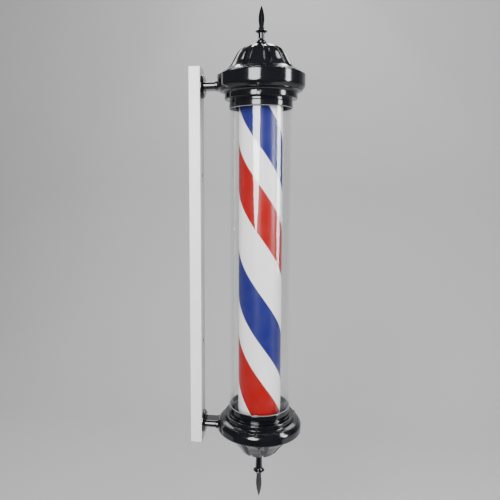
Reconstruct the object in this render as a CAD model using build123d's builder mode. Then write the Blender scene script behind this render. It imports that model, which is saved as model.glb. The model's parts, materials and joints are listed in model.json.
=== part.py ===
"""Wall-mounted barber pole light: rail, arms, housings, clear tube and turning striped roller.

Millimetres. The wall is the plane y = 0, the pole stands out towards -Y, +Z is up.
The origin is the centre of the rail's rear face. Both ends are built alike, and the lower
one is shallower.
"""
import os
from math import cos, sin, radians
from build123d import *

# ---- driving dimensions -------------------------------------------------------------
POLE_Y = 128.0          # wall to pole axis

TUBE_R = 55.0           # clear acrylic tube, 110 x 3
TUBE_WALL = 3.0
TUBE_END = 282.5        # half length of the clear tube
ROLLER_R = 39.0         # roller tube, 78 x 2.5
ROLLER_WALL = 2.5
ROLLER_END = 284.0
SHEET_T = 0.4           # printed sheet wrapped on the roller

RAIL_W, RAIL_D, RAIL_H = 40.0, 21.0, 693.0
RAIL_WALL = 2.0
PLUG_T = 1.5
ACCESS_Z = 156.0        # wall-screw positions above and below the middle
WALL_SCREW_R = 2.75
ACCESS_R = 4.5
INLET_Z = -100.0        # mains cable inlet in the rail's rear wall

ARM_Z = 314.5           # arm axis above and below the middle
ARM_W, ARM_H = 34.0, 13.0
ARM_SCREW_X = 10.0
ROSETTE_R, ROSETTE_T = 21.0, 5.5
PAD_REACH, PAD_BACK = 80.5, 73.6    # flat pad on the housing, from the pole axis
CABLE_Z = 316.0
CABLE_R = 3.0

LIP_R, LIP_Z = 56.8, 274.0      # collar lip round the tube
FLANGE_R, FLANGE_Z0, FLANGE_Z1 = 65.0, 289.0, 297.6
FLOOR_Z = 310.0         # floor inside the housing
BAND_R = 78.5
SPIGOT_R, SPIGOT_BORE = 53.7, 51.0
LUG_R, LUG_FOOT = 1.8, (65.2, 294.8)    # slim rib over each collar screw, with a round head
LUG_HEAD_R, LUG_HEAD_AT = 2.9, 73.8
LUG_SCREW_Z = 292.9

# The lower end is shallower than the upper one. Heights are from the middle of the pole.
UNDERSIDE_Z = {"top": 304.0, "bottom": 300.4}   # joint of collar and housing
SEAM_Z = {"top": 333.4, "bottom": 321.4}        # joint of housing and dome
DOME_FLAT = {"top": 384.0, "bottom": 374.0}     # seat of the finial
BRIDGE_Z = {"top": 350.0, "bottom": 343.0}      # underside of the bridge
STUD_END = {"top": 399.5, "bottom": 391.5}
DOME_OUTER = {
    "top": ((75.5, 333.4), (74.5, 334.5), (67.4, 338.0), (61.0, 342.2), (56.6, 346.5),
            (52.6, 352.5), (49.2, 359.0), (45.4, 366.0), (41.6, 371.8), (37.0, 376.2),
            (29.5, 380.4), (19.0, 383.2), (7.8, 384.0), (0.0, 384.0)),
    "bottom": ((75.5, 321.4), (74.3, 322.4), (67.0, 326.0), (60.5, 331.0), (54.0, 337.5),
               (47.5, 345.5), (41.5, 352.5), (37.5, 358.0), (34.5, 362.5), (30.0, 366.0),
               (22.0, 369.5), (12.0, 372.9), (7.0, 374.0), (0.0, 374.0))}
DOME_INNER = {
    "top": ((0.0, 378.0), (16.0, 377.0), (25.5, 374.2), (32.0, 370.2), (36.2, 366.0),
            (40.0, 360.0), (43.6, 353.4), (47.4, 346.4), (52.4, 340.2), (60.0, 336.4),
            (66.5, 333.4)),
    "bottom": ((0.0, 368.0), (12.0, 366.6), (20.0, 363.8), (26.0, 361.0), (29.6, 356.8),
               (34.6, 350.6), (41.2, 342.0), (48.0, 334.0), (55.0, 327.4), (61.5, 323.6),
               (66.5, 321.4))}
FLUTES, FLUTE_FIRST = 9, 36.0
FLUTE_SLOPE = 2.4       # how far the sloping sides of a flute step in
# along a flute: radius, height, lean of the surface normal, half width, floor depth
FLUTE_RUN = {
    "top": ((60.2, 343.0, 42.0, 6.9, 3.2), (52.6, 352.5, 31.0, 6.7, 3.2),
            (45.4, 366.0, 31.0, 6.3, 3.2), (37.0, 376.2, 54.0, 5.9, 3.0),
            (29.5, 380.4, 68.0, 5.4, 2.6), (17.0, 383.4, 82.0, 4.4, 0.5)),
    "bottom": ((59.6, 332.0, 42.0, 6.9, 3.2), (50.6, 341.6, 39.5, 6.5, 3.2),
               (41.5, 352.5, 38.0, 6.0, 3.2), (34.5, 362.5, 48.0, 5.5, 2.8),
               (26.0, 368.0, 66.0, 4.9, 2.2), (14.0, 372.4, 74.0, 4.0, 0.4))}

# finials: turned (radius, height) outline, then (height, half diagonal) of the square spear
FINIAL = {
    "top": ((0, 384.0), (5.6, 384.0), (5.0, 385.4), (5.0, 386.8), (8.2, 387.2), (9.0, 388.2),
            (9.0, 389.6), (8.2, 390.6), (6.8, 392.2), (5.5, 395.2), (5.3, 400.0), (5.5, 404.6),
            (8.4, 405.8), (10.4, 407.2), (10.7, 408.0), (10.2, 408.8), (7.6, 410.8),
            (5.6, 413.4), (4.6, 416.6), (0, 416.6)),
    "bottom": ((0, 374.0), (6.9, 374.0), (6.9, 375.4), (6.2, 377.0), (5.9, 384.0),
               (6.1, 394.0), (6.5, 401.0), (8.6, 403.6), (10.4, 405.0), (10.7, 405.8),
               (10.2, 406.6), (7.6, 408.6), (5.6, 411.4), (4.6, 414.8), (0, 414.8))}
SPEAR = {
    "top": ((415.6, 4.4), (420.0, 4.3), (427.0, 5.2), (434.0, 5.0), (441.0, 3.9),
            (447.5, 2.1), (452.0, 0.4)),
    "bottom": ((413.8, 4.4), (419.0, 4.5), (428.0, 5.4), (436.0, 5.2), (445.0, 4.0),
               (453.0, 2.1), (458.6, 0.4))}

CARRIER_R, CARRIER_T = 54.5, 2.0
CARRIER_Z = 312.0
STUD_R = 3.0

M3, M4 = 1.5, 2.0       # screw shank radii
CLEAR = 0.3             # clearance of a screw in a plain hole
TAP = 0.1               # clearance modelled in a tapped hole

POLE_AXIS = Axis((0, -POLE_Y, 0), (0, 0, 1))
POLE = Plane(origin=(0, -POLE_Y, 0), x_dir=(1, 0, 0), z_dir=(0, -1, 0))
ENDS = {"top": 1, "bottom": -1}

os.makedirs("parts", exist_ok=True)


# ---- helpers ------------------------------------------------------------------------
def save(part, name):
    part.label = name
    export_step(part, f"parts/{name}.step")


def turn(points, s=1, mode=Mode.ADD):
    """Revolve a closed (radius, height) outline round the pole axis."""
    with BuildSketch(POLE) as profile:
        with BuildLine():
            Polyline(*on_end(points, s), close=True)
        make_face()
    revolve(profile.sketch, axis=POLE_AXIS, mode=mode)


def ring(r0, r1, z0, z1, s=1, mode=Mode.ADD):
    turn([(r0, z0), (r1, z0), (r1, z1), (r0, z1)], s, mode)


def drill(plane, radius, depth, mode=Mode.SUBTRACT):
    """Round bar or hole from a plane's origin along its normal."""
    with BuildSketch(plane) as spot:
        Circle(radius)
    extrude(spot.sketch, amount=depth, mode=mode)


def oval(plane, width, height, depth, mode=Mode.ADD):
    with BuildSketch(plane) as outline:
        SlotOverall(width, height)
    extrude(outline.sketch, amount=depth, mode=mode)


def block(x, y, z, mode=Mode.ADD):
    """Box from three (low, high) spans."""
    with BuildSketch(Plane.XY.offset(z[0])) as foot:
        with Locations(((x[0] + x[1]) / 2, (y[0] + y[1]) / 2)):
            Rectangle(x[1] - x[0], y[1] - y[0])
    extrude(foot.sketch, amount=z[1] - z[0], mode=mode)


def out_from_wall(x, y, z):
    """Plane at a point, facing away from the wall."""
    return Plane(origin=(x, y, z), x_dir=(1, 0, 0), z_dir=(0, -1, 0))


def upright(x, y, z, s=1):
    """Plane at a point beside the pole axis, facing the nearer end of the pole."""
    return Plane(origin=(x, y - POLE_Y, z * s), x_dir=(1, 0, 0), z_dir=(0, 0, s))


def around(radius, angle):
    return radius * cos(radians(angle)), radius * sin(radians(angle))


def outward(radius, angle, z):
    """Plane at a radius from the pole axis, facing away from it."""
    x, y = around(radius, angle)
    return Plane(origin=(x, y - POLE_Y, z), x_dir=(-sin(radians(angle)), cos(radians(angle)), 0),
                 z_dir=(cos(radians(angle)), sin(radians(angle)), 0))


def on_end(points, s):
    """(radius, height) points of the top end, or their mirror image at the bottom end."""
    return [(r, z * s) for r, z in points]


def flip(plane):
    return Plane(origin=plane.origin, x_dir=plane.x_dir, z_dir=-plane.z_dir)


def screw(plane, shank_r, length, head_r, head_h, drive_r=0.0):
    """Pan-head screw: the plane is the seat, its normal runs along the shank."""
    drill(plane, shank_r, length, Mode.ADD)
    back = flip(plane)
    drill(back, head_r, head_h, Mode.ADD)
    if drive_r:
        top = back.offset(head_h)
        for turned in (0, 90):
            with BuildSketch(flip(top).rotated((0, 0, turned))) as cross:
                Rectangle(drive_r * 2, drive_r * 0.5)
            extrude(cross.sketch, amount=head_h * 0.55, mode=Mode.SUBTRACT)


# ---- wall rail ----------------------------------------------------------------------
with BuildPart() as wall_rail:
    with BuildSketch(Plane.XY.offset(-RAIL_H / 2)):
        with Locations((0, -RAIL_D / 2)):
            RectangleRounded(RAIL_W, RAIL_D, 1.2)
            RectangleRounded(RAIL_W - 2 * RAIL_WALL, RAIL_D - 2 * RAIL_WALL, 0.6,
                             mode=Mode.SUBTRACT)
    extrude(amount=RAIL_H)
    for s in (1, -1):
        drill(out_from_wall(0, 1, ACCESS_Z * s), WALL_SCREW_R, RAIL_WALL + 2)
        drill(out_from_wall(0, -RAIL_D / 2, ACCESS_Z * s), ACCESS_R, RAIL_D)
        for x in (ARM_SCREW_X, -ARM_SCREW_X):
            drill(out_from_wall(x, 1, ARM_Z * s), 5.0, RAIL_WALL + 2)
            drill(out_from_wall(x, -RAIL_D / 2, ARM_Z * s), M4 + CLEAR, RAIL_D)
        drill(out_from_wall(0, -RAIL_D / 2, CABLE_Z * s), CABLE_R, RAIL_D)
    drill(out_from_wall(0, 1, INLET_Z), 7.0, RAIL_WALL + 2)
save(wall_rail.part, "wall_rail")

for end, s in ENDS.items():
    with BuildPart() as rail_plug:
        mouth = Plane(origin=(0, -RAIL_D / 2, s * RAIL_H / 2), x_dir=(1, 0, 0), z_dir=(0, 0, s))
        with BuildSketch(mouth):
            RectangleRounded(RAIL_W, RAIL_D, 1.2)
        extrude(amount=PLUG_T)
        with BuildSketch(flip(mouth)):
            RectangleRounded(RAIL_W - 2 * RAIL_WALL - 0.4, RAIL_D - 2 * RAIL_WALL - 0.4, 0.6)
            RectangleRounded(RAIL_W - 2 * RAIL_WALL - 4, RAIL_D - 2 * RAIL_WALL - 4, 0.5,
                             mode=Mode.SUBTRACT)
        extrude(amount=10)
    save(rail_plug.part, f"rail_plug_{end}")

with BuildPart() as cable_grommet:
    drill(out_from_wall(0, -0.4, INLET_Z), 6.9, RAIL_WALL - 0.2, Mode.ADD)
    drill(out_from_wall(0, -RAIL_WALL, INLET_Z), 9.0, 2.0, Mode.ADD)
    drill(out_from_wall(0, 1, INLET_Z), 4.0, 8)
save(cable_grommet.part, "cable_grommet")

# ---- arms ---------------------------------------------------------------------------
ARM_Y0 = -RAIL_D - ROSETTE_T
ARM_Y1 = -POLE_Y + PAD_REACH
for end, s in ENDS.items():
    with BuildPart() as rosette:
        with BuildSketch(Plane.YZ):
            with BuildLine():
                Polyline((-RAIL_D, s * ARM_Z), (-RAIL_D, s * (ARM_Z + ROSETTE_R)),
                         (-RAIL_D - 1.6, s * (ARM_Z + ROSETTE_R)),
                         (-RAIL_D - 3.2, s * (ARM_Z + ROSETTE_R - 0.9)),
                         (-RAIL_D - 4.6, s * (ARM_Z + ROSETTE_R - 2.4)),
                         (ARM_Y0, s * (ARM_Z + ROSETTE_R - 3.6)),
                         (ARM_Y0, s * ARM_Z), close=True)
            make_face()
        revolve(axis=Axis((0, 0, s * ARM_Z), (0, 1, 0)))
        for x in (ARM_SCREW_X, -ARM_SCREW_X):
            drill(out_from_wall(x, 0, ARM_Z * s), M4 + CLEAR, 60)
        drill(out_from_wall(0, 0, CABLE_Z * s), CABLE_R, 60)
    save(rosette.part, f"rosette_{end}")

    with BuildPart() as arm:
        oval(out_from_wall(0, ARM_Y0, ARM_Z * s), ARM_W, ARM_H, ARM_Y0 - ARM_Y1)
        fillet(arm.faces().filter_by(Axis.Y).edges(), 0.6)
        drill(out_from_wall(0, 0, CABLE_Z * s), CABLE_R, 60)
        for x in (ARM_SCREW_X, -ARM_SCREW_X):
            drill(out_from_wall(x, ARM_Y0, ARM_Z * s), M4 + TAP, 9)
            drill(out_from_wall(x, ARM_Y1 + 9, CABLE_Z * s), M4 + TAP, 9)
    save(arm.part, f"arm_{end}")


with BuildPart() as rail_screws:
    for s in (1, -1):
        for x in (ARM_SCREW_X, -ARM_SCREW_X):
            screw(out_from_wall(x, -RAIL_D + RAIL_WALL, ARM_Z * s), M4, 14.5, 3.6, 2.6, 1.8)
save(rail_screws.part, "rail_screws")

# ---- housings, collars and domes ----------------------------------------------------
SPIGOT_SCREWS = [around(21.0, a) for a in (45, 135, 225, 315)]
POST_SCREWS = [around(12.6, a) for a in (0, 90, 180, 270)]
DRIVER_SCREWS = [(24.0, -31.0), (-24.0, -31.0)]
TERMINAL_SCREWS = [(7.0, 28.0), (-7.0, 28.0)]
LUG_ANGLES = (180, 300, 60)
BOSS_ANGLES = (30, 150, 270)
BOSS_R = 48.0


def lug(angle, end, s, grow=0.0, mode=Mode.ADD):
    """Slanting rib with a round head, from the collar's ring to the edge of the housing."""
    x, y = around(LUG_FOOT[0], angle)
    foot = Vector(x, y - POLE_Y, LUG_FOOT[1] * s)
    x, y = around(LUG_HEAD_AT, angle)
    head = Vector(x, y - POLE_Y, (UNDERSIDE_Z[end] + 1.8) * s)
    drill(Plane(origin=foot, z_dir=head - foot), LUG_R + grow, (head - foot).length, mode)
    with Locations(head):
        Sphere(LUG_HEAD_R + grow, mode=mode)


for end, s in ENDS.items():
    under, seam = UNDERSIDE_Z[end], SEAM_Z[end]
    with BuildPart() as housing:
        with BuildSketch(POLE):
            with BuildLine():
                Line((BAND_R, s * (under + 10.6)), (BAND_R, s * (seam - 2.9)))
                ThreePointArc((BAND_R, s * (seam - 2.9)), (77.6, s * (seam - 0.9)),
                              (75.5, s * seam))
                Polyline(*on_end([
                    (75.5, seam), (69.5, seam), (69.5, seam - 2.8), (75.2, seam - 2.8),
                    (75.2, under + 9.0), (71.6, under + 2.6), (56.5, under + 2.6),
                    (56.5, CARRIER_Z), (47.0, CARRIER_Z), (47.0, FLOOR_Z),
                    (SPIGOT_BORE, FLOOR_Z), (SPIGOT_BORE, 292.5), (SPIGOT_R, 292.5),
                    (SPIGOT_R, under), (73.4, under), (76.2, under + 3.5)], s))
                ThreePointArc((76.2, s * (under + 3.5)), (78.0, s * (under + 6.6)),
                              (BAND_R, s * (under + 10.6)))
            make_face()
        revolve(axis=POLE_AXIS)
        oval(out_from_wall(0, -POLE_Y + PAD_BACK, (ARM_Z + 0.2) * s), 37.0, 16.0,
             PAD_BACK - PAD_REACH)
        ring(SPIGOT_R, 82.0, 285.0, under, s, Mode.SUBTRACT)
        ring(57.5, 70.5, under + 3.0, 312.0, s, Mode.SUBTRACT)
        ring(60.0, 82.0, seam, seam + 6.0, s, Mode.SUBTRACT)
        for angle in BOSS_ANGLES:
            x, y = around(BOSS_R, angle)
            drill(upright(x, y, 300.0, s), 4.2, 12.0, Mode.ADD)
            drill(upright(x, y, 299.0, s), M4 + TAP, 14.0)
        for x in (ARM_SCREW_X, -ARM_SCREW_X):
            drill(flip(out_from_wall(x, -POLE_Y + 70, CABLE_Z * s)), M4 + CLEAR, 20)
            drill(out_from_wall(x, -POLE_Y + PAD_BACK, CABLE_Z * s), 3.8, 9)
        drill(flip(out_from_wall(0, -POLE_Y + 70, CABLE_Z * s)), CABLE_R, 20)
        for angle in LUG_ANGLES:
            drill(outward(45, angle, LUG_SCREW_Z * s), M3 + TAP, 12)
            lug(angle, end, s, 0.1, Mode.SUBTRACT)
    save(housing.part, f"housing_{end}")

    with BuildPart() as collar:
        bore = TUBE_R + 0.3
        cove = under - FLANGE_Z1
        turn([(bore, LIP_Z), (LIP_R - 0.5, LIP_Z), (LIP_R, LIP_Z + 0.6), (LIP_R, 282.8),
              (56.4, 283.8), (55.9, 284.6), (55.9, 288.2), (56.5, FLANGE_Z0),
              (63.6, FLANGE_Z0), (64.6, 289.5), (FLANGE_R, 290.6), (FLANGE_R, 296.2),
              (64.7, FLANGE_Z1), (65.6, under - 0.69 * cove), (67.4, under - 0.4 * cove),
              (70.0, under - 0.22 * cove), (72.6, under - 0.12 * cove), (72.6, under),
              (SPIGOT_R + 0.3, under), (SPIGOT_R + 0.3, 291.5), (50.0, 291.5),
              (50.0, 284.5), (bore, 284.5)], s)
        for angle in LUG_ANGLES:
            lug(angle, end, s)
            drill(outward(45, angle, LUG_SCREW_Z * s), M3 + CLEAR, 30)
            drill(outward(FLANGE_R - 0.6, angle, LUG_SCREW_Z * s), 2.7, 4)
    save(collar.part, f"collar_{end}")

    with BuildPart() as gasket:
        ring(51.0, TUBE_R - 0.1, TUBE_END, 284.5, s)
    save(gasket.part, f"gasket_{end}")

    with BuildPart() as lip_seal:
        turn([(TUBE_R, LIP_Z), (TUBE_R, LIP_Z - 1.0), (LIP_R - 0.4, LIP_Z - 1.0),
              (LIP_R, LIP_Z - 0.6), (LIP_R, LIP_Z)], s)
    save(lip_seal.part, f"lip_seal_{end}")

    # cutter for one flute, standing in the +X half of the upper end: sloping sides, flat floor
    with BuildPart() as flute:
        for radius, height, lean, half, depth in FLUTE_RUN[end]:
            across = Plane(origin=(radius, -POLE_Y, height), x_dir=(0, 1, 0),
                           z_dir=(-sin(radians(lean)), 0, cos(radians(lean))))
            foot = half - FLUTE_SLOPE
            with BuildSketch(across):
                Polygon((-foot, depth), (foot, depth), (half + FLUTE_SLOPE, -depth),
                        (-half - FLUTE_SLOPE, -depth), align=None)
        loft()
        radius, height, lean, half, depth = FLUTE_RUN[end][0]
        out = Vector(cos(radians(lean)), 0, sin(radians(lean)))
        with Locations(Plane(origin=Vector(radius, -POLE_Y, height) - out * depth, z_dir=out)):
            Cone(half - FLUTE_SLOPE, half + FLUTE_SLOPE, 2 * depth,
                 align=(Align.CENTER, Align.CENTER, Align.MIN))

    with BuildPart() as dome:
        turn(DOME_OUTER[end] + DOME_INNER[end], s)
        for n in range(FLUTES):
            cutter = flute.part.rotate(POLE_AXIS, FLUTE_FIRST + n * 360 / FLUTES)
            add(cutter if s > 0 else cutter.mirror(Plane.XY), mode=Mode.SUBTRACT)
        drill(upright(0, 0, 360, s), STUD_R + CLEAR, 30)
    save(dome.part, f"dome_{end}")

    with BuildPart() as finial:
        with BuildSketch(POLE):
            with BuildLine():
                Polyline(*on_end(FINIAL[end], s), close=True)
            make_face()
        revolve(axis=POLE_AXIS)
        for z, diag in SPEAR[end]:
            with BuildSketch(Plane(origin=(0, -POLE_Y, z * s))):
                RegularPolygon(diag, 4, rotation=4)
        loft(ruled=True)
        drill(upright(0, 0, 370, s), STUD_R + TAP, STUD_END[end] + 1 - 370)
    save(finial.part, f"finial_{end}")

# ---- plates, bridges and studs inside the housings ----------------------------------
    with BuildPart() as carrier:
        ring(0, CARRIER_R, CARRIER_Z, CARRIER_Z + CARRIER_T, s)
        for angle in BOSS_ANGLES:
            drill(upright(*around(BOSS_R, angle), 310, s), M4 + CLEAR, 8)
        for x in (41.0, -41.0):
            drill(upright(x, 0, 310, s), M4 + CLEAR, 8)
        if s > 0:
            drill(upright(0, 0, 310, s), 9.0, 8)
            for x, y in SPIGOT_SCREWS + POST_SCREWS + DRIVER_SCREWS + TERMINAL_SCREWS:
                drill(upright(x, y, 310, s), M3 + CLEAR, 8)
        else:
            drill(upright(0, 0, 310, s), 6.0, 8)
            for y in (30.0, -30.0):
                drill(upright(0, y, 310, s), M4 + CLEAR, 8)
    save(carrier.part, f"carrier_{end}")

    with BuildPart() as bridge:
        low, high = CARRIER_Z + CARRIER_T, BRIDGE_Z[end]
        with BuildSketch(POLE):
            with BuildLine():
                Polyline((46, s * low), (46, s * (low + 2)), (36, s * (low + 2)),
                         (36, s * (high + 2)), (-36, s * (high + 2)), (-36, s * (low + 2)),
                         (-46, s * (low + 2)), (-46, s * low), (-34, s * low), (-34, s * high),
                         (34, s * high), (34, s * low), close=True)
            make_face()
        extrude(amount=8, both=True)
        for x in (41.0, -41.0):
            drill(upright(x, 0, 310, s), M4 + CLEAR, 8)
        drill(upright(0, 0, high - 2, s), STUD_R + CLEAR, 10)
    save(bridge.part, f"bridge_{end}")

# ---- fasteners of both ends ---------------------------------------------------------
with BuildPart() as arm_screws:
    for s in ENDS.values():
        for x in (ARM_SCREW_X, -ARM_SCREW_X):
            seat = flip(out_from_wall(x, -POLE_Y + PAD_BACK, CABLE_Z * s))
            screw(seat, M4, 13.5, 3.4, 2.4, 1.8)
save(arm_screws.part, "arm_screws")

with BuildPart() as collar_screws:
    for s in ENDS.values():
        for angle in LUG_ANGLES:
            screw(flip(outward(FLANGE_R - 0.6, angle, LUG_SCREW_Z * s)), M3, 13.0, 2.4, 1.6, 1.2)
save(collar_screws.part, "collar_screws")

with BuildPart() as carrier_screws:
    for s in ENDS.values():
        for angle in BOSS_ANGLES:
            seat = upright(*around(BOSS_R, angle), CARRIER_Z + CARRIER_T, s)
            screw(flip(seat), M4, 11.0, 3.4, 2.4, 1.8)
save(carrier_screws.part, "carrier_screws")

with BuildPart() as bridge_screws:
    for s in ENDS.values():
        for x in (41.0, -41.0):
            screw(flip(upright(x, 0, CARRIER_Z + 4, s)), M4, 7.6, 3.2, 2.4, 1.8)
            with BuildSketch(flip(upright(x, 0, CARRIER_Z, s))):
                RegularPolygon(3.4, 6)
            extrude(amount=2.2)
save(bridge_screws.part, "bridge_screws")

with BuildPart() as studs:
    for end, s in ENDS.items():
        start = BRIDGE_Z[end] - 5
        drill(upright(0, 0, start, s), STUD_R, STUD_END[end] - start, Mode.ADD)
save(studs.part, "studs")

with BuildPart() as stud_nuts:
    for end, s in ENDS.items():
        high = BRIDGE_Z[end]
        for plane in (flip(upright(0, 0, high, s)), upright(0, 0, high + 2, s)):
            with BuildSketch(plane):
                RegularPolygon(5.8, 6)
                Circle(STUD_R, mode=Mode.SUBTRACT)
            extrude(amount=4.8)
save(stud_nuts.part, "stud_nuts")

# ---- tubes and roller ---------------------------------------------------------------
with BuildPart() as tube_outer:
    ring(TUBE_R - TUBE_WALL, TUBE_R, -TUBE_END, TUBE_END)
save(tube_outer.part, "tube_outer")

with BuildPart() as roller_tube:
    ring(ROLLER_R - ROLLER_WALL, ROLLER_R, -ROLLER_END, ROLLER_END)
save(roller_tube.part, "roller_tube")

with BuildPart() as stripe_sheet:
    ring(ROLLER_R, ROLLER_R + SHEET_T, -ROLLER_END + 1, ROLLER_END - 1)
save(stripe_sheet.part, "stripe_sheet")

BEARING_R = 20.0
with BuildPart() as roller_cap_top:
    ring(BEARING_R + 0.06, ROLLER_R, ROLLER_END, ROLLER_END + 3)
    ring(ROLLER_R - ROLLER_WALL - 2.5, ROLLER_R - ROLLER_WALL, ROLLER_END - 10, ROLLER_END)
    ring(BEARING_R + 0.06, BEARING_R + 3, ROLLER_END - 16, ROLLER_END)
    for n in range(6):
        with BuildSketch(outward(BEARING_R + 2.5, n * 60, ROLLER_END - 4)):
            Rectangle(2, 8)
        extrude(amount=12)
save(roller_cap_top.part, "roller_cap_top")

with BuildPart() as roller_cap_bottom:
    ring(6.0, ROLLER_R, ROLLER_END, ROLLER_END + 3, -1)
    ring(ROLLER_R - ROLLER_WALL - 2.5, ROLLER_R - ROLLER_WALL, ROLLER_END - 10, ROLLER_END, -1)
    for n in range(3):
        x, y = around(12.0, n * 120 + 30)
        drill(upright(x, y, ROLLER_END - 8, -1), 3.5, 8.5, Mode.ADD)
        drill(upright(x, y, ROLLER_END - 6, -1), M3 + TAP, 12)
save(roller_cap_bottom.part, "roller_cap_bottom")

# ---- drive --------------------------------------------------------------------------
SHAFT_R, SHAFT_FLAT = 3.5, 2.5
with BuildPart() as drive_coupling:
    ring(3.6, 17.0, 287.0, 290.0, -1)
    ring(3.6, 9.0, 290.0, 303.0, -1)
    for n in range(3):
        drill(upright(*around(12.0, n * 120 + 30), 280, -1), M3 + CLEAR, 12)
    drill(outward(3.0, 0, -297.0), M3 + TAP, 8)
save(drive_coupling.part, "drive_coupling")

with BuildPart() as coupling_screws:
    for n in range(3):
        screw(flip(upright(*around(12.0, n * 120 + 30), 290.0, -1)), M3, 8.5, 2.6, 1.8, 1.2)
save(coupling_screws.part, "coupling_screws")

with BuildPart() as coupling_set_screw:
    drill(outward(SHAFT_FLAT, 0, -297.0), M3, 6.6, Mode.ADD)
    with BuildSketch(outward(SHAFT_FLAT + 6.6, 0, -297.0)):
        RegularPolygon(0.8, 6)
    extrude(amount=-1.5, mode=Mode.SUBTRACT)
save(coupling_set_screw.part, "coupling_set_screw")

MOTOR_TOP, MOTOR_R, MOTOR_H = 314.0, 24.5, 22.0
ROTOR_Y = 14.0          # rotor axis beside the output shaft, 10:1 gearing
with BuildPart() as motor_case:
    ring(0, MOTOR_R, MOTOR_TOP, MOTOR_TOP + MOTOR_H, -1)
    with BuildSketch(Plane(origin=(0, -POLE_Y, -MOTOR_TOP - 1.2))):
        SlotOverall(70, 11, rotation=90)
    extrude(amount=1.2)
    ring(0, MOTOR_R - 1.2, MOTOR_TOP + 1.2, MOTOR_TOP + MOTOR_H + 1, -1, Mode.SUBTRACT)
    drill(upright(0, 0, 310, -1), SHAFT_R + 0.06, 8)
    drill(upright(0, ROTOR_Y, MOTOR_TOP + 0.5, -1), 0.86, 2)
    for y in (30.0, -30.0):
        drill(upright(0, y, 310, -1), M4 + CLEAR, 8)
save(motor_case.part, "motor_case")

with BuildPart() as motor_lid:
    ring(0, MOTOR_R, MOTOR_TOP + MOTOR_H, MOTOR_TOP + MOTOR_H + 1.2, -1)
    ring(MOTOR_R - 2.6, MOTOR_R - 1.2, MOTOR_TOP + MOTOR_H - 2, MOTOR_TOP + MOTOR_H, -1)
    ring(SHAFT_R + 0.06, 6.0, 326.0, MOTOR_TOP + MOTOR_H, -1)
    drill(upright(0, ROTOR_Y, MOTOR_TOP + MOTOR_H - 1.6, -1), 2.5, 1.6, Mode.ADD)
    drill(upright(0, ROTOR_Y, MOTOR_TOP + MOTOR_H - 2, -1), 0.86, 2.6)
save(motor_lid.part, "motor_lid")


def toothed(outer, root, teeth):
    """Closed outline of a small gear wheel."""
    points = [(outer if n % 2 else root, 180 * n / teeth) for n in range(2 * teeth)]
    return [around(radius, angle) for radius, angle in points]


with BuildPart() as motor_shaft:
    drill(upright(0, 0, 292.0, -1), SHAFT_R, 42.0, Mode.ADD)
    block((SHAFT_FLAT, 6), (-POLE_Y - 6, -POLE_Y + 6), (-304.0, -290.0), Mode.SUBTRACT)
    with BuildSketch(upright(0, 0, 317.0, -1)):
        Polygon(*toothed(12.6, 12.1, 60))
    extrude(amount=3)
save(motor_shaft.part, "motor_shaft")

with BuildPart() as motor_rotor:
    drill(upright(0, ROTOR_Y, 314.7, -1), 0.8, 21.7, Mode.ADD)
    with BuildSketch(upright(0, ROTOR_Y, 316.6, -1)):
        Polygon(*toothed(1.25, 1.0, 6))
    extrude(amount=4)
    drill(upright(0, ROTOR_Y, 322.0, -1), 7.0, 11.0, Mode.ADD)
save(motor_rotor.part, "motor_rotor")

with BuildPart() as motor_screws:
    for y in (30.0, -30.0):
        screw(upright(0, y, CARRIER_Z, -1), M4, 7.0, 3.4, 2.4, 1.8)
save(motor_screws.part, "motor_screws")

with BuildPart() as motor_nuts:
    for y in (30.0, -30.0):
        with BuildSketch(upright(0, y, MOTOR_TOP + 1.2, -1)):
            RegularPolygon(4.0, 6)
            Circle(M4, mode=Mode.SUBTRACT)
        extrude(amount=3.2)
save(motor_nuts.part, "motor_nuts")

with BuildPart() as shaft_bush:
    ring(SHAFT_R + 0.06, 6.0, MOTOR_TOP - 2, MOTOR_TOP, -1)
    ring(SHAFT_R + 0.06, 8.0, MOTOR_TOP - 3.2, MOTOR_TOP - 2, -1)
save(shaft_bush.part, "shaft_bush")

# ---- bearing, lamp and wiring blocks at the top -------------------------------------
with BuildPart() as spigot_top:
    ring(16.5, 26.0, CARRIER_Z - 3, CARRIER_Z)
    ring(16.5, BEARING_R, ROLLER_END - 18, CARRIER_Z - 3)
    for x, y in SPIGOT_SCREWS:
        drill(upright(x, y, 300), M3 + TAP, 14)
save(spigot_top.part, "spigot_top")

PLATE_TOP = CARRIER_Z + CARRIER_T
with BuildPart() as spigot_screws:
    for x, y in SPIGOT_SCREWS:
        screw(flip(upright(x, y, PLATE_TOP)), M3, 4.8, 2.5, 1.8, 1.2)
save(spigot_screws.part, "spigot_screws")

POST_HALF, POST_END = 9.0, -250.0
with BuildPart() as light_post:
    block((-POST_HALF, POST_HALF), (-POLE_Y - POST_HALF, -POLE_Y + POST_HALF),
          (POST_END, CARRIER_Z - 4))
    ring(0, 15.8, CARRIER_Z - 4, CARRIER_Z)
    block((1.5 - POST_HALF, POST_HALF - 1.5),
          (1.5 - POLE_Y - POST_HALF, POST_HALF - POLE_Y - 1.5), (POST_END, CARRIER_Z),
          Mode.SUBTRACT)
    for x, y in POST_SCREWS:
        drill(upright(x, y, CARRIER_Z - 6), M3 + TAP, 10)
save(light_post.part, "light_post")

with BuildPart() as post_screws:
    for x, y in POST_SCREWS:
        screw(flip(upright(x, y, PLATE_TOP)), M3, 5.8, 2.5, 1.8, 1.2)
save(post_screws.part, "post_screws")

BOARD_W, BOARD_T, BOARD_END = 12.0, 1.6, 240.0
for n, letter in enumerate("abcd"):
    with BuildPart() as led_board:
        face = outward(POST_HALF, n * 90, 0)
        with BuildSketch(face):
            Rectangle(BOARD_W, 2 * BOARD_END)
        extrude(amount=BOARD_T)
        with BuildSketch(face.offset(BOARD_T)):
            with GridLocations(0, 30, 1, 16):
                Rectangle(3.5, 3.5)
        extrude(amount=0.8)
    save(led_board.part, f"led_board_{letter}")

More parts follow.
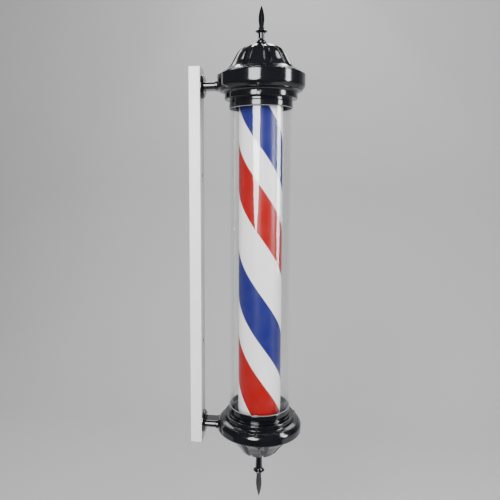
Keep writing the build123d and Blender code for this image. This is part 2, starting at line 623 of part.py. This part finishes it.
with BuildPart() as led_driver:
    block((-20, 20), (-POLE_Y - 42, -POLE_Y - 20), (PLATE_TOP, PLATE_TOP + 18))
    fillet(led_driver.edges().filter_by(Axis.Z), 2)
    fillet(led_driver.faces().sort_by(Axis.Z)[-1].edges(), 1)
    block((-28, 28), (-POLE_Y - 35, -POLE_Y - 27), (PLATE_TOP, PLATE_TOP + 2))
    for x, y in DRIVER_SCREWS:
        drill(upright(x, y, PLATE_TOP - 1), M3 + CLEAR, 4)
save(led_driver.part, "led_driver")

with BuildPart() as driver_screws:
    for x, y in DRIVER_SCREWS:
        screw(flip(upright(x, y, PLATE_TOP + 2)), M3, 5.5, 2.5, 1.8, 1.2)
save(driver_screws.part, "driver_screws")

with BuildPart() as terminal_block:
    block((-15, 15), (-POLE_Y + 20, -POLE_Y + 36), (PLATE_TOP, PLATE_TOP + 9))
    block((-15, 15), (-POLE_Y + 24, -POLE_Y + 32), (PLATE_TOP + 9, PLATE_TOP + 13))
    for x, y in TERMINAL_SCREWS:
        drill(upright(x, y, PLATE_TOP - 1), M3 + CLEAR, 20)
        drill(upright(x, y, PLATE_TOP + 5), 2.8, 20)
    for x in (-11.5, 0, 11.5):
        drill(upright(x, 28.0, PLATE_TOP + 8), 1.8, 6)
        drill(out_from_wall(x, -POLE_Y + 37, PLATE_TOP + 4), 1.7, 20)
save(terminal_block.part, "terminal_block")

with BuildPart() as terminal_screws:
    for x, y in TERMINAL_SCREWS:
        screw(flip(upright(x, y, PLATE_TOP + 5)), M3, 8.0, 2.5, 1.8, 1.2)
save(terminal_screws.part, "terminal_screws")
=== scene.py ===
import json
import math
import bpy
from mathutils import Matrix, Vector


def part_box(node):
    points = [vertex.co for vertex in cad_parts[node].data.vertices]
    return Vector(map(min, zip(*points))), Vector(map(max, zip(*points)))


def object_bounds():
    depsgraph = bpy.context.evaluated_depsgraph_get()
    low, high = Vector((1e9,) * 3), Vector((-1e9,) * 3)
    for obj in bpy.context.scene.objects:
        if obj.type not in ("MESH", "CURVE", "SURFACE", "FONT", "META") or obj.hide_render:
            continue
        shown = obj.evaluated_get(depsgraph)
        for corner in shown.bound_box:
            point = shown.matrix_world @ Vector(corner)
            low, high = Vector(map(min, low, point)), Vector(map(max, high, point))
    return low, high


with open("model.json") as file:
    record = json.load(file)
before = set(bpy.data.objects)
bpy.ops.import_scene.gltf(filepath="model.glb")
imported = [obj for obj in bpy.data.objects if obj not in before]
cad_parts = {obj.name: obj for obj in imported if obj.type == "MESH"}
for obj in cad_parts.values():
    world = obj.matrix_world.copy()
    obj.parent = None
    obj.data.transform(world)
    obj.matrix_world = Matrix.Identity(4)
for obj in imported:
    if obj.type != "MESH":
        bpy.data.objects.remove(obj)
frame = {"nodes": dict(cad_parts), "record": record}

CAD_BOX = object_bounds()
NODES = frame["nodes"]

# the pole's axis, from the CAD
low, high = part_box("roller_tube")
AXIS = (low + high) / 2

# ------------------------------------------------------------------ camera
# Side view along +X, turned 8 degrees towards the wall and 6 degrees down.
cam_data = bpy.data.cameras.new("camera")
cam = bpy.data.objects.new("camera", cam_data)
bpy.context.scene.collection.objects.link(cam)
cam_data.sensor_width = 36.0
cam_data.lens = 38.63
cam_data.shift_x = 0.0534
cam_data.shift_y = -0.0404
cam_data.clip_end = 60.0
cam.location = (-0.9764, -0.2004, 0.1557)
look = Vector((0.9847, 0.1419, -0.1013)).normalized()
cam.rotation_euler = look.to_track_quat("-Z", "Y").to_euler()
cam.rotation_euler.rotate_axis("Z", math.radians(-0.07))
bpy.context.scene.camera = cam


# ------------------------------------------------------------------ nodes
FINIAL_R, CROWN_R = 0.012, 0.016    # edges are rounded less inside the first radius


class Tree:
    """A material's node tree, with short calls for the few nodes used here."""

    def __init__(self, name):
        self.mat = bpy.data.materials.new(name)
        self.mat.use_nodes = True
        self.nt = self.mat.node_tree
        self.bsdf = self.nt.nodes["Principled BSDF"]
        self.out = self.nt.nodes["Material Output"]
        self.where = self.nt.nodes.new("ShaderNodeTexCoord").outputs["Object"]

    def link(self, a, b):
        self.nt.links.new(a, b)

    def set(self, **values):
        for key, value in values.items():
            self.bsdf.inputs[key.replace("_", " ")].default_value = value

    def math(self, op, *args, clamp=False):
        n = self.nt.nodes.new("ShaderNodeMath")
        n.operation = op
        n.use_clamp = clamp
        for slot, arg in zip(n.inputs, args):
            if isinstance(arg, (int, float)):
                slot.default_value = arg
            else:
                self.link(arg, slot)
        return n.outputs[0]

    def noise(self, size, detail=3.0, rough=0.5, stretch=(1, 1, 1)):
        """Noise whose features are about size metres across."""
        m = self.nt.nodes.new("ShaderNodeMapping")
        m.inputs["Scale"].default_value = stretch
        self.link(self.where, m.inputs["Vector"])
        n = self.nt.nodes.new("ShaderNodeTexNoise")
        n.inputs["Scale"].default_value = 1.0 / size
        n.inputs["Detail"].default_value = detail
        n.inputs["Roughness"].default_value = rough
        self.link(m.outputs[0], n.inputs["Vector"])
        return n.outputs["Fac"]

    def ramp(self, fac, stops):
        n = self.nt.nodes.new("ShaderNodeValToRGB")
        e = n.color_ramp.elements
        while len(e) < len(stops):
            e.new(0.5)
        for el, (pos, col) in zip(e, stops):
            el.position = pos
            el.color = (*col, 1.0)
        self.link(fac, n.inputs["Fac"])
        return n.outputs["Color"]

    def level(self, fac, lo, hi, out_lo, out_hi):
        n = self.nt.nodes.new("ShaderNodeMapRange")
        n.inputs["From Min"].default_value = lo
        n.inputs["From Max"].default_value = hi
        n.inputs["To Min"].default_value = out_lo
        n.inputs["To Max"].default_value = out_hi
        self.link(fac, n.inputs["Value"])
        return n.outputs[0]

    def mix(self, fac, a, b):
        n = self.nt.nodes.new("ShaderNodeMix")
        n.data_type = "RGBA"
        self.link(fac, n.inputs["Factor"])
        for slot, value in ((n.inputs["A"], a), (n.inputs["B"], b)):
            if isinstance(value, tuple):
                slot.default_value = (*value, 1.0)
            else:
                self.link(value, slot)
        return n.outputs["Result"]

    def bump(self, height, depth, strength=1.0, below=None):
        n = self.nt.nodes.new("ShaderNodeBump")
        n.inputs["Distance"].default_value = depth
        n.inputs["Strength"].default_value = strength
        self.link(height, n.inputs["Height"])
        if below is not None:
            self.link(below, n.inputs["Normal"])
        return n.outputs["Normal"]

    def soft_edges(self, radius):
        """Normal that rounds a moulding's edges by a radius in metres, and slim finials by less."""
        split = self.nt.nodes.new("ShaderNodeSeparateXYZ")
        self.link(self.where, split.inputs[0])
        aside = self.math("POWER", self.math("SUBTRACT", split.outputs["X"], AXIS.x), 2.0)
        out = self.math("POWER", self.math("SUBTRACT", split.outputs["Y"], AXIS.y), 2.0)
        from_axis = self.math("SQRT", self.math("ADD", aside, out))
        n = self.nt.nodes.new("ShaderNodeBevel")
        n.samples = 6
        self.link(self.level(from_axis, FINIAL_R, CROWN_R, radius / 6, radius), n.inputs["Radius"])
        return n.outputs["Normal"]

    def wear(self, colour=None, roughness=None, normal=None):
        for key, value in (("Base Color", colour), ("Roughness", roughness), ("Normal", normal)):
            if value is not None:
                self.link(value, self.bsdf.inputs[key])
        return self.mat


# ------------------------------------------------------------------ materials
WAVE_DEPTH = 0.00005


def gloss(name, tint, lighter, rough_lo, rough_hi, ior=1.5, edge=0.0):
    """Glossy moulded plastic or enamel: faint mottling, soft flow waves and fine orange peel."""
    t = Tree(name)
    t.set(IOR=ior)
    mottle = t.noise(0.02, 4.0, 0.6)
    dust = t.noise(0.0009, 2.0, 0.7)
    colour = t.mix(t.level(mottle, 0.35, 0.7, 0.0, 1.0), tint, lighter)
    rough = t.math("ADD", t.level(mottle, 0.3, 0.7, rough_lo, rough_hi),
                   t.level(dust, 0.62, 0.8, 0.0, 0.05))
    rounded = t.soft_edges(edge) if edge else None
    wave = t.bump(t.noise(0.012, 2.0, 0.4), WAVE_DEPTH, 0.5, rounded)
    peel = t.bump(t.noise(0.0006, 2.0, 0.5), 0.000008, 0.4, wave)
    return t.wear(colour, rough, peel)


def metal(name, tint, lighter, rough_lo, rough_hi, grain=(1, 1, 1)):
    """Bare or plated metal with a fine grain, drawn out along an axis by grain."""
    t = Tree(name)
    t.set(Metallic=1.0)
    tone = t.noise(0.015, 4.0, 0.6)
    streak = t.noise(0.0006, 3.0, 0.6, grain)
    colour = t.mix(t.level(tone, 0.3, 0.7, 0.0, 1.0), tint, lighter)
    rough = t.level(streak, 0.3, 0.7, rough_lo, rough_hi)
    return t.wear(colour, rough, t.bump(streak, 0.00002, 0.5))


def matte(name, tint, lighter, rough_lo, rough_hi):
    """Plain plastic or rubber with a fine moulded grain."""
    t = Tree(name)
    tone = t.noise(0.02, 4.0, 0.6)
    grain = t.noise(0.0007, 3.0, 0.6)
    colour = t.mix(t.level(tone, 0.3, 0.7, 0.0, 1.0), tint, lighter)
    rough = t.level(grain, 0.3, 0.7, rough_lo, rough_hi)
    return t.wear(colour, rough, t.bump(grain, 0.00003, 0.5))


LEAD = 0.3495           # rise of one turn of the spiral
BLUE_FROM, BLUE_TO = 0.0937, 0.3536     # shares of a turn
RED_FROM, RED_TO = 0.6465, 0.9027
PRINT_EDGE = 0.0012     # half the soft edge of a band, as a share of a turn
ACRYLIC_IOR = 1.49
RED = (0.34, 0.001, 0.001)
WHITE = (0.92, 0.91, 0.92)
BLUE = (0.010, 0.013, 0.150)


def striped():
    """Printed sheet: blue, white, red and white bands on one spiral, with slightly soft edges."""
    t = Tree("printed_stripes")
    t.set(IOR=1.5)
    split = t.nt.nodes.new("ShaderNodeSeparateXYZ")
    t.link(t.where, split.inputs[0])
    y = t.math("SUBTRACT", split.outputs["Y"], AXIS.y)
    turn = t.math("DIVIDE", t.math("ARCTAN2", y, split.outputs["X"]), 2 * math.pi)
    climb = t.math("DIVIDE", split.outputs["Z"], LEAD)
    place = t.math("FLOORED_MODULO", t.math("ADD", turn, climb), 1.0)
    stops = [(0.0, WHITE)]
    for at, before, after in ((BLUE_FROM, WHITE, BLUE), (BLUE_TO, BLUE, WHITE),
                              (RED_FROM, WHITE, RED), (RED_TO, RED, WHITE)):
        stops += [(at - PRINT_EDGE, before), (at + PRINT_EDGE, after)]
    bands = t.ramp(place, stops)
    ink = t.noise(0.035, 4.0, 0.6)
    colour = t.mix(t.level(ink, 0.35, 0.75, 0.0, 0.03), bands, (0.30, 0.26, 0.28))
    speck = t.noise(0.0008, 2.0, 0.6)
    rough = t.math("ADD", t.level(ink, 0.3, 0.7, 0.28, 0.38), t.level(speck, 0.5, 0.8, 0.0, 0.06))
    return t.wear(colour, rough, t.bump(t.noise(0.0012, 2.0, 0.5), 0.00001, 0.4))


def clear_tube():
    """Clear acrylic: what it doesn't mirror passes straight through. Faint haze and scuffs."""
    t = Tree("clear_acrylic")
    t.set(Metallic=1.0, Base_Color=(0.97, 0.98, 0.99, 1.0))
    # the wall is crossed without bending, so its inner faces reflect like its outer ones
    side = t.nt.nodes.new("ShaderNodeNewGeometry").outputs["Backfacing"]
    facing = t.nt.nodes.new("ShaderNodeFresnel")
    t.link(t.level(side, 0.0, 1.0, ACRYLIC_IOR, 1.0 / ACRYLIC_IOR), facing.inputs["IOR"])
    haze = t.level(t.noise(0.03, 4.0, 0.6), 0.3, 0.75, 0.0, 0.004)
    scuff = t.level(t.noise(0.0016, 3.0, 0.7, (1, 1, 0.15)), 0.6, 0.8, 0.0, 0.012)
    mirror = t.math("ADD", t.math("ADD", facing.outputs[0], haze), scuff, clamp=True)
    t.link(mirror, t.bsdf.inputs["Alpha"])
    rough = t.level(t.noise(0.012, 3.0, 0.5), 0.3, 0.7, 0.015, 0.04)
    return t.wear(None, rough, t.bump(t.noise(0.04, 2.0, 0.4), 0.00006, 0.4))


def seal():
    """Translucent silicone, dark where the black lip shows through it."""
    t = Tree("clear_seal")
    t.set(IOR=1.41)
    cloud = t.noise(0.004, 3.0, 0.6)
    colour = t.mix(t.level(cloud, 0.3, 0.7, 0.0, 1.0), (0.13, 0.135, 0.145), (0.20, 0.205, 0.22))
    return t.wear(colour, t.level(cloud, 0.3, 0.7, 0.25, 0.4), t.bump(cloud, 0.00003, 0.4))


black = gloss("black_gloss", (0.0035, 0.0035, 0.005), (0.006, 0.006, 0.009), 0.09, 0.15,
              ior=1.6, edge=0.0022)
enamel = gloss("black_enamel", (0.004, 0.004, 0.0045), (0.007, 0.007, 0.0075), 0.08, 0.13,
               ior=1.6, edge=0.0006)
MATERIALS = {
    "black_gloss": black,
    "black_enamel": enamel,
    "white_enamel": gloss("white_enamel", (0.86, 0.86, 0.86), (0.91, 0.91, 0.91), 0.30, 0.42),
    "white_plastic": matte("white_plastic", (0.78, 0.78, 0.77), (0.84, 0.84, 0.83), 0.35, 0.5),
    "clear_acrylic": clear_tube(),
    "clear_seal": seal(),
    "striped_print": striped(),
    "black_rubber": matte("black_rubber", (0.016, 0.016, 0.016), (0.03, 0.03, 0.03), 0.6, 0.8),
    "zinc_steel": metal("zinc_steel", (0.55, 0.56, 0.60), (0.68, 0.68, 0.70), 0.28, 0.42),
    "black_screw": metal("black_screw", (0.05, 0.05, 0.055), (0.09, 0.09, 0.095), 0.22, 0.36),
    "motor_steel": metal("motor_steel", (0.50, 0.51, 0.52), (0.62, 0.62, 0.63), 0.25, 0.4,
                         (1, 1, 0.1)),
    "dark_magnet": metal("dark_magnet", (0.07, 0.07, 0.08), (0.13, 0.13, 0.14), 0.5, 0.7),
    "bronze": metal("bronze", (0.50, 0.34, 0.17), (0.64, 0.46, 0.25), 0.35, 0.5),
    "cast_aluminium": metal("cast_aluminium", (0.66, 0.67, 0.69), (0.78, 0.78, 0.79), 0.3, 0.45,
                            (1, 1, 0.05)),
    "bearing_plastic": matte("bearing_plastic", (0.80, 0.80, 0.77), (0.87, 0.87, 0.84), 0.4, 0.5),
    "board_white": matte("board_white", (0.76, 0.77, 0.76), (0.83, 0.84, 0.83), 0.35, 0.5),
    "driver_grey": matte("driver_grey", (0.30, 0.31, 0.33), (0.38, 0.39, 0.41), 0.5, 0.65),
}
for entry in frame["record"]["subparts"]:
    mesh = NODES[entry["node"]].data
    mat = MATERIALS[entry["material_slot"]]
    if not mesh.materials:
        mesh.materials.append(mat)
    for i in range(len(mesh.materials)):
        mesh.materials[i] = mat

# ------------------------------------------------------------------ stage
def stage_mat(name, tint):
    t = Tree(name)
    tone = t.noise(0.5, 3.0, 0.5)
    lighter = tuple(min(1.0, c * 1.03) for c in tint)
    colour = t.mix(t.level(tone, 0.3, 0.7, 0.0, 1.0), tint, lighter)
    return t.wear(colour, t.level(tone, 0.3, 0.7, 0.7, 0.8), t.bump(tone, 0.0005, 0.2))


FLOOR_DROP = 0.45                   # from the lower spear's tip to the floor
FLOOR_FRONT, FLOOR_BACK = -0.45, 1.2
SWEEP_R, SWEEP_STEPS = 1.0, 12      # the curve from floor to backdrop
BACKDROP_TOP, STAGE_HALF = 4.5, 5.0


def sweep_stage():
    """Pale floor that curves up into a backdrop behind the object, as seen by the camera."""
    floor_z = CAD_BOX[0].z - FLOOR_DROP
    profile = [(FLOOR_FRONT, 0.0), (FLOOR_BACK, 0.0)]
    for n in range(1, SWEEP_STEPS + 1):
        a = math.radians(90 * n / SWEEP_STEPS)
        profile.append((FLOOR_BACK + SWEEP_R * math.sin(a), SWEEP_R * (1.0 - math.cos(a))))
    profile.append((FLOOR_BACK + SWEEP_R, BACKDROP_TOP))
    verts, faces = [], []
    for x, z in profile:
        verts += [(x, -STAGE_HALF, floor_z + z), (x, STAGE_HALF, floor_z + z)]
    for n in range(len(profile) - 1):
        faces.append((2 * n, 2 * n + 2, 2 * n + 3, 2 * n + 1))
    me = bpy.data.meshes.new("sweep")
    me.from_pydata(verts, [], faces)
    for p in me.polygons:
        p.use_smooth = True
    ob = bpy.data.objects.new("sweep", me)
    bpy.context.scene.collection.objects.link(ob)
    me.materials.append(stage_mat("pale_stage", (0.46, 0.46, 0.47)))


sweep_stage()


# ------------------------------------------------------------------ light
def area(name, angle, distance, z, aim_z, width, height, power):
    """Round or oval lamp beside the pole, turned towards a height on the pole's axis."""
    data = bpy.data.lights.new(name, "AREA")
    data.shape = "ELLIPSE"
    data.size, data.size_y = width, height
    data.energy = power
    ob = bpy.data.objects.new(name, data)
    bpy.context.scene.collection.objects.link(ob)
    a = math.radians(angle)
    ob.location = (AXIS.x + distance * math.cos(a), AXIS.y + distance * math.sin(a), z)
    aim = Vector((AXIS.x, AXIS.y, aim_z)) - ob.location
    ob.rotation_euler = aim.to_track_quat("-Z", "Y").to_euler()


DOME_Z = 0.35           # height of the upper dome, where the small lamps are aimed
area("key", 168, 2.2, 0.93, 0.93, 1.1, 2.2, 120.0)
area("side", 256, 2.2, 0.57, 0.57, 0.54, 2.0, 60.0)
# high at either side and behind, for the two walls of each flute
area("wall_right", 280, 2.0, 2.42, DOME_Z, 0.75, 0.75, 14.0)
area("wall_left", 88, 2.0, 2.42, DOME_Z, 0.75, 0.75, 14.0)
area("edge_right", 329, 2.0, 1.37, DOME_Z, 0.9, 0.9, 9.0)
area("edge_left", 39, 2.0, 1.37, DOME_Z, 0.9, 0.9, 9.0)
# behind and above, for the crown of the dome and the rims of the collars
area("back", 4, 1.9, 1.9, DOME_Z, 1.3, 0.6, 26.0)

world = bpy.data.worlds.new("world")
bpy.context.scene.world = world
world.use_nodes = True
world.node_tree.nodes["Background"].inputs["Color"].default_value = (0.92, 0.93, 0.95, 1.0)
world.node_tree.nodes["Background"].inputs["Strength"].default_value = 0.10
